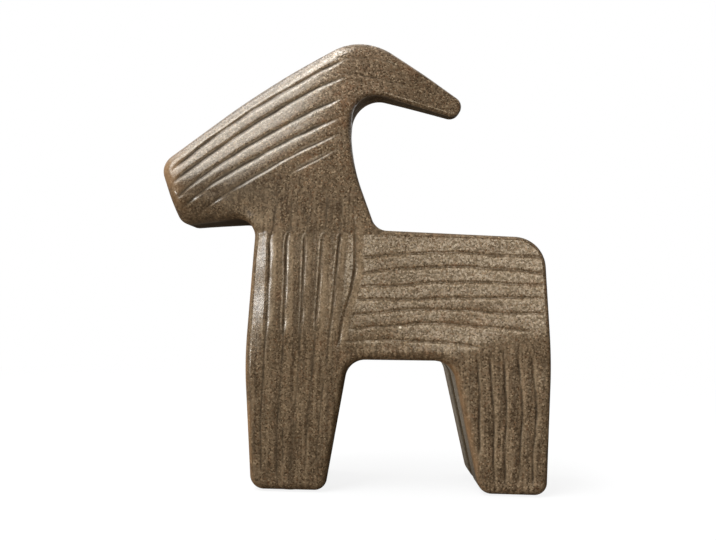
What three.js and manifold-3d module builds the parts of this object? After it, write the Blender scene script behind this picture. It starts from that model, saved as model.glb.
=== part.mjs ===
// A stoneware yule goat: a hollow standing figure pressed in two halves that are joined with slip along the
// middle plane, a solid horn plugged into the crown, and felt dots under the feet.
// Millimetres, +Z up, the head toward -X.
import * as THREE from "three";
import { mergeVertices } from "three/addons/utils/BufferGeometryUtils.js";
import Module from "manifold-3d";

const wasm = await Module();
wasm.setup();

// Side view: stations run back from the top of the muzzle, heights run up from the foot rims.
const muzzleReach = 44; // muzzle to the front of the forefoot
const bodyLength = 129.9; // front of the forefoot to the heel of the hind foot
const frontFootLength = 32.3;
const rearFootLength = 30.1;
const frontLegFlare = 9.5; // how much longer each leg is at the belly than at the foot
const rearLegFlare = 13.7;
const bellyHeight = 58.1;
const trunkDepth = 56.5; // belly to back
const neckDepth = 52.4; // forefoot to withers
const chestSwell = 3.5; // how far the chest stands ahead of the forefoot
const rumpLean = 4.7; // how far the top of the rump stands ahead of the heel
const rumpDrop = 1.9; // how much the back falls toward the rump
const jawDepth = 28.3; // jaw line to the top of the muzzle
const chinSetback = 10.2; // how far the chin stands behind the top of the muzzle
const throatRise = 4; // how much the jaw line climbs to the throat
const browRise = 63.8; // back to the middle of the brow
const crownRise = 91.1; // back to where the brow and the horn would meet in a point
const crownLean = 7.8; // how far that point stands ahead of the withers
const napeRise = 34; // back to the hollow of the nape
const napeLean = 12.4;
const bendRise = 64.6; // back to where the nape and the horn's underside would meet
const bendLean = 12.6;
const hornReach = 56.3; // withers to where the horn would end in a point
const hornRise = 48.9; // back to that same point

// Corner radii in side view.
const muzzleCorner = 6;
const chinCorner = 5;
const throatCorner = 6;
const footCorner = 5.5;
const archCorner = 10;
const rumpCorner = 14;
const napeFootCorner = 7;
const napeCorner = 80;
const bendCorner = 12;
const hornTipCorner = 4.2;
const crownCorner = 30;
const browCorner = 300;
const swellCorner = 200; // the slight swell of the chest and the haunch
const arcStep = THREE.MathUtils.degToRad(15); // longest turn between two points of a corner

// Front view: half of the width at each level.
const footHalfWidth = 26;
const trunkHalfWidth = 30;
const headHalfWidth = 14;
const crownHalfWidth = 10;
const muzzleTaper = 0.17; // half width lost per millimetre toward the muzzle
const hornTaper = 0.075; // half width lost per millimetre toward the horn's tip
const kneeAboveBelly = 11.5; // the flat sides of the trunk start here
const headAboveBack = 50; // the taper of the neck ends here
const edgeRadius = 3.7; // rounding of the long edges

// Inside, joints and feet.
const wall = 5;
const hollowRadius = 1.5; // rounding of the hollow's edges
const footFloor = 8; // clay left above the sole of each foot
const legGap = 8; // slot between the left and the right leg
const seamWidth = 0.75; // layer of slip between the halves
const hornSeam = 0.6; // layer of slip at the root of the horn
const hornJointLean = 10.2; // how far the joint of the horn stands ahead of the withers
const hornStub = { radius: 4, length: 6, rise: 73 }; // rise is its height above the back
const fitGap = 0.3; // clearance round a piece that is set into another
const ventRadius = 3; // firing vent through each sole
const pad = { radius: 6, thickness: 1 };
const padRecess = 0.5; // how deep each felt dot sits in its sole

// Carved lines, spread evenly between a first and a last one in each field.
const groove = { halfWidth: 1.6, depth: 0.9, steps: 4 };
const grooveCount = { head: 5, neck: 6, trunk: 7, rearLeg: 5 };
const grooveMargin = 8; // from an edge to the first carved line beside it
const grooveInset = 2; // from a bend of the sides to the end of a carved line
const grooveBow = 1; // how far a carved line swells from straight

const roundSides = 24;
const overshoot = 1; // how far a cutter reaches past what it cuts
const far = 400; // reaches past the figure in every direction

const rim = pad.thickness - padRecess; // height of the foot rims above the table
const back = bellyHeight + trunkDepth;
const heel = muzzleReach + bodyLength;
const withers = muzzleReach + neckDepth;
const hornJoint = withers - hornJointLean;
const knee = bellyHeight + kneeAboveBelly;
const headTop = back + headAboveBack;
const crownTop = back + crownRise;
const hornFloor = back + (napeRise + hornRise) / 2; // behind the joint, only the horn lies above this

// A corner of the side view: station, height and radius. One that sticks out leaves room for rounded edges.
const corner = (x, z, radius) => ({ point: new THREE.Vector2(x, z), radius });
const convex = (x, z, radius) => corner(x, z, Math.max(radius, edgeRadius + fitGap));

const muzzleTop = convex(0, back + jawDepth, muzzleCorner);
const chin = convex(chinSetback, back, chinCorner);
const throat = corner(muzzleReach, back + throatRise, throatCorner);
const chest = corner(muzzleReach - chestSwell, bellyHeight, swellCorner);
const frontToe = convex(muzzleReach, 0, footCorner);
const frontHeel = convex(muzzleReach + frontFootLength, 0, footCorner);
const frontArch = corner(frontHeel.point.x + frontLegFlare, bellyHeight, archCorner);
const rearToe = convex(heel - rearFootLength, 0, footCorner);
const rearArch = corner(rearToe.point.x - rearLegFlare, bellyHeight, archCorner);
const rearHeel = convex(heel, 0, footCorner);
const haunch = corner(heel, bellyHeight, swellCorner);
const rump = convex(heel - rumpLean, back - rumpDrop, rumpCorner);
const napeFoot = corner(withers, back, napeFootCorner);
const nape = corner(withers - napeLean, back + napeRise, napeCorner);
const bend = corner(withers - bendLean, back + bendRise, bendCorner);
const hornTip = convex(withers + hornReach, back + hornRise, hornTipCorner);
const crown = corner(withers - crownLean, crownTop, crownCorner);
const brow = corner(muzzleReach, back + browRise, browCorner);

const legs = [frontToe, frontHeel, frontArch, rearArch, rearToe, rearHeel];
const body = [muzzleTop, chin, throat, chest, ...legs, haunch, rump, napeFoot, nape];
const figureCorners = [...body, bend, hornTip, crown, brow];
// The hollow leaves the horn out and stops short of its joint.
const hollowCorners = [...body, corner(hornJoint, crownTop - wall, 2 * wall), brow];

// Closed outline through the corners, moved inward by an inset. Each corner is an arc that takes up at most
// half of the shorter side beside it.
function roundedOutline(corners, inset) {
  const points = [];
  corners.forEach(({ point, radius }, i) => {
    const before = corners.at(i - 1).point;
    const after = corners[(i + 1) % corners.length].point;
    const inDirection = point.clone().sub(before).normalize();
    const outDirection = after.clone().sub(point).normalize();
    const inNormal = new THREE.Vector2(-inDirection.y, inDirection.x);
    const outNormal = new THREE.Vector2(-outDirection.y, outDirection.x);
    const turn = Math.atan2(inDirection.cross(outDirection), inDirection.dot(outDirection));
    const side = Math.sign(turn); // 1 where the outline bends outward round the clay
    const slope = Math.tan(Math.abs(turn) / 2);
    const room = Math.min(point.distanceTo(before), point.distanceTo(after)) / 2;
    const shift = inset / (1 + inNormal.dot(outNormal));
    const apex = inNormal.clone().add(outNormal).multiplyScalar(shift).add(point);
    const arcRadius = Math.max(Math.min(radius, room / slope) - side * inset, fitGap);
    const tangent = apex.clone().addScaledVector(inDirection, -arcRadius * slope);
    const centre = tangent.addScaledVector(inNormal, side * arcRadius);
    const start = inNormal.multiplyScalar(-side).angle();
    const steps = Math.ceil(Math.abs(turn) / arcStep);
    for (let k = 0; k <= steps; k += 1) {
      const angle = start + (turn * k) / steps;
      const offset = new THREE.Vector2(Math.cos(angle), Math.sin(angle)).multiplyScalar(arcRadius);
      points.push(offset.add(centre));
    }
  });
  return points;
}

// The same surface with each point held once.
function merged(geometry) {
  geometry.deleteAttribute("normal");
  geometry.deleteAttribute("uv");
  return mergeVertices(geometry, 1e-4);
}

function toSolid(geometry) {
  const { attributes, index } = merged(geometry);
  const vertProperties = Float32Array.from(attributes.position.array);
  const triVerts = Uint32Array.from(index.array);
  return new wasm.Manifold(new wasm.Mesh({ numProp: 3, vertProperties, triVerts }));
}

function toGeometry(solid) {
  const { vertProperties, triVerts } = solid.getMesh();
  const geometry = new THREE.BufferGeometry();
  geometry.setAttribute("position", new THREE.BufferAttribute(vertProperties, 3));
  geometry.setIndex(new THREE.BufferAttribute(triVerts, 1));
  return geometry;
}

function box(x0, x1, y0, y1, z0, z1) {
  const geometry = new THREE.BoxGeometry(x1 - x0, y1 - y0, z1 - z0);
  return toSolid(geometry.translate((x0 + x1) / 2, (y0 + y1) / 2, (z0 + z1) / 2));
}

// Slab with the side view's outline, as wide as the trunk, with its long edges rounded.
function slab(corners, inset, halfWidth, rounding) {
  const shape = new THREE.Shape(roundedOutline(corners, inset + rounding));
  const depth = 2 * (halfWidth - rounding);
  const bevel = { bevelSize: rounding, bevelThickness: rounding, bevelSegments: 3 };
  const geometry = new THREE.ExtrudeGeometry(shape, { depth, steps: 1, ...bevel });
  return merged(geometry.translate(0, 0, -depth / 2).rotateX(Math.PI / 2));
}

// Half of the figure's width where its side view has the given station and height.
const levels = [[-far, footHalfWidth], [0, footHalfWidth], [knee, trunkHalfWidth], [back, trunkHalfWidth],
  [headTop, headHalfWidth], [crownTop, crownHalfWidth], [far, crownHalfWidth]];

function halfWidthAt(x, z) {
  const upper = levels.findIndex(([height]) => height >= z);
  const [[z0, width0], [z1, width1]] = [levels[upper - 1], levels[upper]];
  const width = THREE.MathUtils.mapLinear(z, z0, z1, width0, width1);
  const muzzleDrop = z > back ? muzzleTaper * Math.max(throat.point.x - x, 0) : 0;
  const hornDrop = z > hornFloor ? hornTaper * Math.max(x - hornJoint, 0) : 0;
  return width - muzzleDrop - hornDrop;
}

// Splits the triangles that cross a plane of constant x or z, so that the surface can bend along it.
function creased(geometry, axis, value) {
  const points = [];
  for (let i = 0; i < geometry.attributes.position.count; i += 1) {
    points.push(new THREE.Vector3().fromBufferAttribute(geometry.attributes.position, i));
  }
  const crossings = new Map();
  const crossing = (i, j) => {
    const [low, high] = [Math.min(i, j), Math.max(i, j)];
    const key = `${low},${high}`;
    if (!crossings.has(key)) {
      const share = (value - points[low][axis]) / (points[high][axis] - points[low][axis]);
      crossings.set(key, points.push(points[low].clone().lerp(points[high], share)) - 1);
    }
    return crossings.get(key);
  };
  const sideOf = (i) => (Math.abs(points[i][axis] - value) < 1e-4 ? 0 : Math.sign(points[i][axis] - value));
  const index = [];
  const source = geometry.index.array;
  for (let t = 0; t < source.length; t += 3) {
    const corners = [source[t], source[t + 1], source[t + 2]];
    const sides = corners.map(sideOf);
    if (Math.min(...sides) >= 0 || Math.max(...sides) <= 0) {
      index.push(...corners);
      continue;
    }
    // The first corner is the one that the plane cuts off from the others, or touches.
    const touching = sides.indexOf(0);
    const cutOff = sides.findIndex((side) => sides.filter((other) => other === side).length === 1);
    const lone = touching >= 0 ? touching : cutOff;
    const [a, b, c] = [0, 1, 2].map((k) => corners[(lone + k) % 3]);
    if (touching >= 0) {
      const middle = crossing(b, c);
      index.push(a, b, middle, a, middle, c);
    } else {
      const [ab, ac] = [crossing(a, b), crossing(a, c)];
      index.push(a, ab, ac, ab, b, c, ab, c, ac);
    }
  }
  const result = new THREE.BufferGeometry().setFromPoints(points);
  result.setIndex(index);
  return result;
}

// Brings the sides of a slab in toward the feet, head, muzzle and horn, with its edges as they were.
function tapered(slabGeometry, fullWidth, lessWidth, rounding) {
  const inner = levels.slice(1, -1).map(([height]) => height);
  const bent = [throat.point.x, hornJoint].reduce((whole, x) => creased(whole, "x", x),
    inner.reduce((whole, z) => creased(whole, "z", z), slabGeometry));
  const position = bent.attributes.position;
  for (let i = 0; i < position.count; i += 1) {
    const drop = fullWidth + lessWidth - halfWidthAt(position.getX(i), position.getZ(i));
    const flat = fullWidth - rounding;
    const y = position.getY(i);
    position.setY(i, Math.abs(y) > flat ? y - Math.sign(y) * drop : y * (1 - drop / flat));
  }
  return toSolid(bent);
}

// Slot between the legs of both sides, with a round ceiling at the belly.
function legSlot(halfWidth, ceiling) {
  const shape = new THREE.Shape();
  shape.moveTo(-halfWidth, -far);
  shape.lineTo(halfWidth, -far);
  shape.lineTo(halfWidth, ceiling - halfWidth);
  shape.absarc(0, ceiling - halfWidth, halfWidth, 0, Math.PI, false);
  const options = { depth: 2 * far, bevelEnabled: false, curveSegments: 8 };
  const geometry = new THREE.ExtrudeGeometry(shape, options);
  return toSolid(geometry.translate(0, 0, -far).rotateX(Math.PI / 2).rotateZ(Math.PI / 2));
}

// Upright round bar between two heights.
function upright(radius, x, y, z0, z1) {
  const geometry = new THREE.CylinderGeometry(radius, radius, z1 - z0, roundSides);
  return toSolid(geometry.rotateX(Math.PI / 2).translate(x, y, (z0 + z1) / 2));
}

// Round bar along the figure between two stations.
function lengthwise(radius, x0, x1, z) {
  const geometry = new THREE.CylinderGeometry(radius, radius, x1 - x0, roundSides);
  return toSolid(geometry.rotateZ(Math.PI / 2).translate((x0 + x1) / 2, 0, z));
}

// Points of a slightly bowed line on the side of the figure, with one wherever the side bends.
function carvedPath(from, to, bow) {
  const middle = from.clone().lerp(to, 0.5).add(bow.clone().multiplyScalar(2));
  const path = new THREE.QuadraticBezierCurve(from, middle, to).getPoints(groove.steps);
  for (const [axis, value] of [["x", throat.point.x], ["y", headTop]]) {
    const past = (point) => point[axis] > value;
    const next = path.findIndex((point, i) => i > 0 && past(point) !== past(path[i - 1]));
    if (next < 0) continue;
    const [before, after] = [path[next - 1], path[next]];
    const share = (value - before[axis]) / (after[axis] - before[axis]);
    path.splice(next, 0, before.clone().lerp(after, share));
  }
  return path;
}

// Cutter for one carved line: a V that follows the left side of the figure and runs out at both ends.
function grooveCutter(from, to, bow) {
  const path = carvedPath(from, to, bow);
  const positions = [];
  path.forEach((point, i) => {
    const [before, after] = [path[Math.max(i - 1, 0)], path[Math.min(i + 1, path.length - 1)]];
    const along = after.clone().sub(before).normalize();
    const across = new THREE.Vector2(-along.y, along.x).multiplyScalar(2 * groove.halfWidth);
    const surface = -halfWidthAt(point.x, point.y);
    const depth = i === 0 || i === path.length - 1 ? groove.depth / 8 : groove.depth;
    positions.push(point.x - across.x, surface - groove.depth, point.y - across.y);
    positions.push(point.x + across.x, surface - groove.depth, point.y + across.y);
    positions.push(point.x, surface + depth, point.y);
  });
  const index = [0, 1, 2];
  for (let i = 0; i < path.length - 1; i += 1) {
    for (let k = 0; k < 3; k += 1) {
      const [a, b] = [3 * i + k, 3 * i + ((k + 1) % 3)];
      index.push(a, a + 3, b, b, a + 3, b + 3);
    }
  }
  const last = positions.length / 3 - 3;
  index.push(last, last + 2, last + 1);
  const geometry = new THREE.BufferGeometry();
  geometry.setAttribute("position", new THREE.Float32BufferAttribute(positions, 3));
  geometry.setIndex(index);
  return toSolid(geometry);
}

// Ends of the first and the last line in each carved field. The head's lines run from the muzzle to the nape,
// the neck's down to the knee, the trunk's back to the rump and the hind leg's down to the foot.
const at = (x, z) => new THREE.Vector2(x, z);
const neckTop = back - grooveInset;
const neckEnd = knee + grooveInset;
const trunkFront = frontArch.point.x + grooveInset;
const trunkEnd = heel - grooveMargin;
const trunkTop = back - grooveMargin;
const trunkBottom = bellyHeight + grooveMargin;
const napeLine = nape.point.x - grooveMargin / 2;
const headField = {
  first: [at(grooveMargin, muzzleTop.point.y - grooveInset), at(napeLine, crownTop - 2 * grooveMargin)],
  last: [at(chin.point.x + grooveMargin, back + grooveMargin), at(napeLine, nape.point.y + grooveMargin)],
};
const neckField = {
  first: [at(throat.point.x + grooveMargin, neckTop), at(chest.point.x + grooveMargin, neckEnd)],
  last: [at(nape.point.x + grooveInset, neckTop), at(frontArch.point.x - grooveInset, neckEnd)],
};
const trunkField = {
  first: [at(trunkFront, trunkBottom), at(trunkEnd, trunkBottom)],
  last: [at(trunkFront, trunkTop), at(trunkEnd, trunkTop)],
};
const legField = {
  first: [at(rearArch.point.x + grooveMargin, bellyHeight), at(rearToe.point.x + grooveMargin, footFloor)],
  last: [at(trunkEnd, bellyHeight), at(trunkEnd, footFloor)],
};

function grooveField(count, { first, last }, bow) {
  return Array.from({ length: count }, (_, i) => {
    const [from, to] = first.map((end, k) => end.clone().lerp(last[k], i / (count - 1)));
    return grooveCutter(from, to, bow);
  });
}

const grooves = [
  ...grooveField(grooveCount.head, headField, at(-grooveBow, grooveBow)),
  ...grooveField(grooveCount.neck, neckField, at(grooveBow / 2, 0)),
  ...grooveField(grooveCount.trunk, trunkField, at(0, grooveBow)),
  ...grooveField(grooveCount.rearLeg, legField, at(0, 0)),
];

// The whole outside and the hollow.
const figureSlab = slab(figureCorners, 0, trunkHalfWidth, edgeRadius);
const outside = tapered(figureSlab, trunkHalfWidth, 0, edgeRadius).subtract(legSlot(legGap / 2, bellyHeight));
const hollowWidth = trunkHalfWidth - wall;
const hollowSlab = slab(hollowCorners, wall, hollowWidth, hollowRadius);
const hollow = tapered(hollowSlab, hollowWidth, wall, hollowRadius)
  .intersect(box(-far, far, -far, far, footFloor, far))
  .subtract(legSlot(legGap / 2 + wall, bellyHeight + wall));

// The horn, the slip at its root and the socket for its stub.
const behind = (x) => box(x, far, -far, far, hornFloor, far);
const stub = (radius, x0, x1) => lengthwise(radius, x0, x1, back + hornStub.rise);
const socketRadius = hornStub.radius + fitGap;
const socket = stub(socketRadius, hornJoint - hornStub.length - fitGap, hornJoint + hornSeam + overshoot);
const horn = outside.intersect(behind(hornJoint + hornSeam))
  .add(stub(hornStub.radius, hornJoint - hornStub.length, hornJoint + hornSeam + overshoot));
const hornSlip = outside.intersect(behind(hornJoint)).subtract(behind(hornJoint + hornSeam)).subtract(socket);

// The four feet, with a recess for the felt dot and a vent into the hollow.
const feet = [
  { name: "front_left_pad", x: muzzleReach + frontFootLength / 2, side: -1 },
  { name: "front_right_pad", x: muzzleReach + frontFootLength / 2, side: 1 },
  { name: "rear_left_pad", x: heel - rearFootLength / 2, side: -1 },
  { name: "rear_right_pad", x: heel - rearFootLength / 2, side: 1 },
];
const footCentre = (legGap / 2 + footHalfWidth) / 2;

function withFootCuts(solid, { x, side }) {
  const recess = upright(pad.radius + fitGap, x, side * footCentre, -overshoot, padRecess);
  const vent = upright(ventRadius, x, side * footCentre, -overshoot, footFloor + overshoot);
  return solid.subtract(recess).subtract(vent);
}

// The two halves and the slip between them.
const hornless = outside.subtract(hollow).subtract(behind(hornJoint)).subtract(socket);
const clay = feet.reduce(withFootCuts, hornless);
const leftClay = clay.intersect(box(-far, far, -far, -seamWidth / 2, -far, far));
const leftShell = grooves.reduce((solid, cutter) => solid.subtract(cutter), leftClay);
const rightShell = leftShell.transform(new THREE.Matrix4().makeScale(1, -1, 1).elements);
const seam = clay.intersect(box(-far, far, -seamWidth / 2, seamWidth / 2, -far, far));

// Colours and finishes.
const glaze = { color: 0x73624e, roughness: 0.38, metalness: 0 };
const fired = { color: 0x9a8468, roughness: 0.85, metalness: 0 };
const felt = { color: 0x3b3632, roughness: 1, metalness: 0 };

function mesh(name, solid, finish) {
  const piece = new THREE.Mesh(toGeometry(solid), new THREE.MeshStandardMaterial(finish));
  piece.name = name;
  return piece;
}

// The figure stands on its felt dots with its middle over the origin.
const extent = new THREE.Box3().setFromBufferAttribute(toGeometry(outside).attributes.position);
const middle = extent.getCenter(new THREE.Vector3()).x;
const clayBody = new THREE.Group();
clayBody.position.set(-middle, 0, rim);
clayBody.add(
  mesh("left_shell", leftShell, glaze),
  mesh("right_shell", rightShell, glaze),
  mesh("luting_seam", seam, fired),
  mesh("horn", horn, glaze),
  mesh("horn_luting", hornSlip, fired),
);
const goat = new THREE.Group();
goat.add(clayBody);
for (const { name, x, side } of feet) {
  const dot = mesh(name, upright(pad.radius, 0, 0, 0, pad.thickness), felt);
  dot.position.set(x - middle, side * footCentre, 0);
  goat.add(dot);
}

export default goat;
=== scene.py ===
import math

import bpy
import numpy as np
from mathutils import Matrix, Vector
from mathutils.geometry import delaunay_2d_cdt


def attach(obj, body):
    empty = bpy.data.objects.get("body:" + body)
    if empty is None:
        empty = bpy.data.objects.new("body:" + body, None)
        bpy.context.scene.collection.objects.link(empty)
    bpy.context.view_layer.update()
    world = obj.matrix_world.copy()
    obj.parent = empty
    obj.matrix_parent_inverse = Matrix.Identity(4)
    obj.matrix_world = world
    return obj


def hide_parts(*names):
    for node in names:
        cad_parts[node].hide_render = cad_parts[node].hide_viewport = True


# A standing stoneware goat: two pressed halves joined by slip, a horn on the crown, felt dots under the
# feet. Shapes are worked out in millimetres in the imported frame: x runs from head to rump, y across, z up.
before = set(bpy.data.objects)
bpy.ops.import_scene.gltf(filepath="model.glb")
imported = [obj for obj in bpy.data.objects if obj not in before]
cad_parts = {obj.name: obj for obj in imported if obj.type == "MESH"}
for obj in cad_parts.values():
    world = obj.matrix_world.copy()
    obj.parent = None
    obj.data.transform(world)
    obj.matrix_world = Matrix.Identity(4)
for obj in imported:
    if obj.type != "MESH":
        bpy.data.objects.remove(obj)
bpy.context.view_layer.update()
millimetre = 0.001


def addObject(name, data):
    thing = bpy.data.objects.new(name, data)
    bpy.context.scene.collection.objects.link(thing)
    return thing


# The picture was taken square on, a little below the middle of the figure and tilted by about a degree.
view = {"place": (-2.5, -415.0, 88.6), "lens": 44.95, "sensor": 36, "roll": 1.26, "shift": (0.0112, 0.0279),
        "clip": (10, 20000)}


def makeCamera(settings):
    data = bpy.data.cameras.new("camera")
    data.sensor_width, data.lens = settings["sensor"], settings["lens"]
    data.shift_x, data.shift_y = settings["shift"]
    data.clip_start, data.clip_end = (v * millimetre for v in settings["clip"])
    camera = addObject("camera", data)
    upright = Matrix.Rotation(math.radians(90), 4, "X")
    roll = Matrix.Rotation(math.radians(settings["roll"]), 4, "Z")
    camera.matrix_world = Matrix.Translation(Vector(settings["place"]) * millimetre) @ upright @ roll
    bpy.context.scene.camera = camera


makeCamera(view)

# Side view, counterclockwise from the muzzle. Each corner has x, z, its radius, and how far the rounded
# edge there reaches in from the outline and down from the side.
sideView = {
    "muzzleTop": (-88.2, 142.7, 8.5, 3.6, 3.4),
    "chin": (-78.3, 116.0, 5, 4.4, 5),
    "throat": (-43.9, 119.9, 8, 2, 3),
    "chest": (-47.7, 58.6, 200, 2.8, 2.8),
    "frontToe": (-44.2, 0.5, 6.2, 3.8, 3.8),
    "frontHeel": (-11.6, 0.5, 5.5, 3.5, 3.5),
    "frontArch": (-2.4, 58.3, 8.5, 3.5, 3.5),
    "rearArch": (42.6, 58.6, 10, 4.5, 4),
    "rearToe": (56.4, 0.5, 6.5, 4, 3.5),
    "rearHeel": (85.6, 0.5, 5.5, 2.6, 2.6),
    "haunch": (85.6, 58.6, 200, 2.2, 2.2),
    "rump": (81.0, 112.9, 14, 1.8, 1.8),
    "napeFoot": (8.2, 114.8, 7, 1.8, 1.8),
    "nape": (-4.0, 147.5, 80, 2.8, 2.8),
    "bend": (-2.5, 180.8, 12, 2.2, 2.2),
    "hornTip": (67.3, 162.6, 4.8, 1.8, 1.8),
    "hornBack": (29.9, 188.4, 200, 2.0, 2.0),
    "crown": (1.1, 206.5, 26, 6, 2.6),
    "brow": (-43.7, 179.7, 300, 10, 5),
}
# Half of the width at each level, and what takes from it: the belly, the chest's first band, the jaw, the
# muzzle, the head's plane and the horn. A pair tells where a change begins and where it is whole.
frontView = {
    "foot": (0.5, 26.0), "knee": (70.6, 30.0), "back": (112.4, 30.0), "crown": (206.2, 14.4),
    "softness": (1.5, 0.4), "bellyDrop": 10.0, "bellyFront": (-10, 12), "bellyRear": (84, 34),
    "bibFall": 0.28, "bibFrom": -38.2, "bibSoftness": 0.5, "bibFoot": (46, 76), "bibTop": (115, 112.2),
    "jawFall": 9.5, "jawHigh": 15.0, "jawAlong": (-35, -76), "jawFoot": (-18, 0),
    "muzzleFall": 0.12, "muzzleFrom": -47.0, "muzzleSoftness": 3.0, "muzzleFoot": (100, 118),
    "fold": ((-72.9, 119.9), (-8.4, 157.5)), "foldFall": 0.215, "foldSoftness": 3.5, "headSoftness": 0.6,
    "hornFrom": -5.0, "hornSoftness": 5.5, "hornFoot": (150, 165), "narrowFrom": 0.0, "narrowOver": 16.0,
}
joints = {"hornX": -1.3, "hornSlip": 0.6, "seam": 0.75, "seamDepth": 3.0, "seamRound": 0.05, "edge": 0.15}
legSlot = {"half": 4.0, "ceiling": 58.6, "edge": 3.0, "edgeFrom": 1.0}
# How finely things are divided, as counts or as lengths. Steps over the rounded edge gather by a power.
detail = {
    "outline": 0.82, "face": 0.55, "faceMargin": 0.55, "inside": 4.0, "edgeSteps": 24, "edgeGather": 1.2,
    "wallSteps": 4, "innerSteps": 5, "jointSteps": 40, "slipSteps": 5, "seam": 1.2, "seamSteps": 60,
    "archAngles": (0, 15, 30, 45, 60, 72, 82), "archStep": 1.5, "archMargin": 0.4, "archClear": 1.0,
    "fineSteps": 4000, "smoothSteps": 81, "searchSteps": 3000, "ringPlaces": 8, "mostCrossings": 16,
    "sharpAngle": 65,
}
# How far a surface is turned from the side: 0 on it, 1 at the end of its rounded edge, then these.
turnedAt = {"hornWall": 1.5, "slip": 1.6, "inside": 2.0}


def smoothStep(value, low, high):
    share = np.clip((value - low) / (high - low), 0, 1)
    return share * share * (3 - 2 * share)


def softRamp(value, softness):
    # Zero below nothing, the value itself above it, with a soft bend between: k log(1 + exp(v / k)).
    return softness * np.logaddexp(0, value / softness)


def unit(vectors):
    return vectors / np.linalg.norm(vectors, axis=-1, keepdims=True)


def leftOf(vectors):
    return np.stack([-vectors[:, 1], vectors[:, 0]], 1)


def moved(points, ways, amount):
    # x and z of points in the side view after a move along their own directions, in rows.
    return [points[:, k, None] + ways[:, k, None] * amount for k in (0, 1)]


def blend(first, last, share):
    return first * (1 - share) + last * share


class Outline:
    # Straight sides joined by arcs, each tangent to its two sides, measured along its own length.
    def __init__(self, corners):
        table = np.array(list(corners.values()), float)
        points, self.radius = table[:, :2], table[:, 2]
        self.inward = unit(points - np.roll(points, 1, 0))
        self.outward = unit(np.roll(points, -1, 0) - points)
        cross = self.inward[:, 0] * self.outward[:, 1] - self.inward[:, 1] * self.outward[:, 0]
        self.turn = np.arctan2(cross, (self.inward * self.outward).sum(1))
        reach = self.radius * np.tan(np.abs(self.turn) / 2)
        self.bend = np.sign(self.turn)
        self.start = points - self.inward * reach[:, None]
        self.end = points + self.outward * reach[:, None]
        self.centre = self.start + leftOf(self.inward) * (self.bend * self.radius)[:, None]
        arc = self.radius * np.abs(self.turn)
        straight = np.linalg.norm(np.roll(self.start, -1, 0) - self.end, axis=1)
        self.arcFrom = np.concatenate([[0], np.cumsum(arc + straight)])[:-1]
        self.sideFrom = self.arcFrom + arc
        self.length = float((arc + straight).sum())
        # Sizes of the rounded edge change evenly from corner to corner and are smoothed along the outline.
        self.fine = np.linspace(0, self.length, detail["fineSteps"], endpoint=False)
        middle = self.arcFrom + arc / 2
        window = np.hanning(detail["smoothSteps"])
        lap = detail["smoothSteps"] // 2
        self.edges = []
        for column in (3, 4):
            sizes = np.interp(self.fine, middle, table[:, column], period=self.length)
            wrapped = np.concatenate([sizes[-lap:], sizes, sizes[:lap]])
            self.edges.append(np.convolve(wrapped, window / window.sum(), "valid"))

    def at(self, along):
        # Point, inward normal and the two sizes of the rounded edge at each distance along the outline.
        along = np.mod(along, self.length)
        k = np.searchsorted(self.arcFrom, along, "right") - 1
        past = along - self.arcFrom[k]
        onSide = along - self.sideFrom[k]
        angle = self.bend[k] * past / self.radius[k]
        begin = leftOf(self.inward)[k] * -(self.bend * self.radius)[k, None]
        cos, sin = np.cos(angle), np.sin(angle)
        spoke = np.stack([begin[:, 0] * cos - begin[:, 1] * sin, begin[:, 0] * sin + begin[:, 1] * cos], 1)
        arcNormal = -spoke * (self.bend / self.radius)[k, None]
        straight = (onSide > 0)[:, None]
        point = np.where(straight, self.end[k] + self.outward[k] * onSide[:, None], self.centre[k] + spoke)
        normal = np.where(straight, leftOf(self.outward)[k], arcNormal)
        return point, normal, *(np.interp(along, self.fine, e, period=self.length) for e in self.edges)

    def crossing(self, axis, value, low, high):
        # Where the outline passes a value of x or z, between two distances along it.
        along = np.linspace(low, high, detail["searchSteps"])
        place = self.at(along)[0][:, axis] - value
        return float(along[np.argmin(np.abs(place))])


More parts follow.
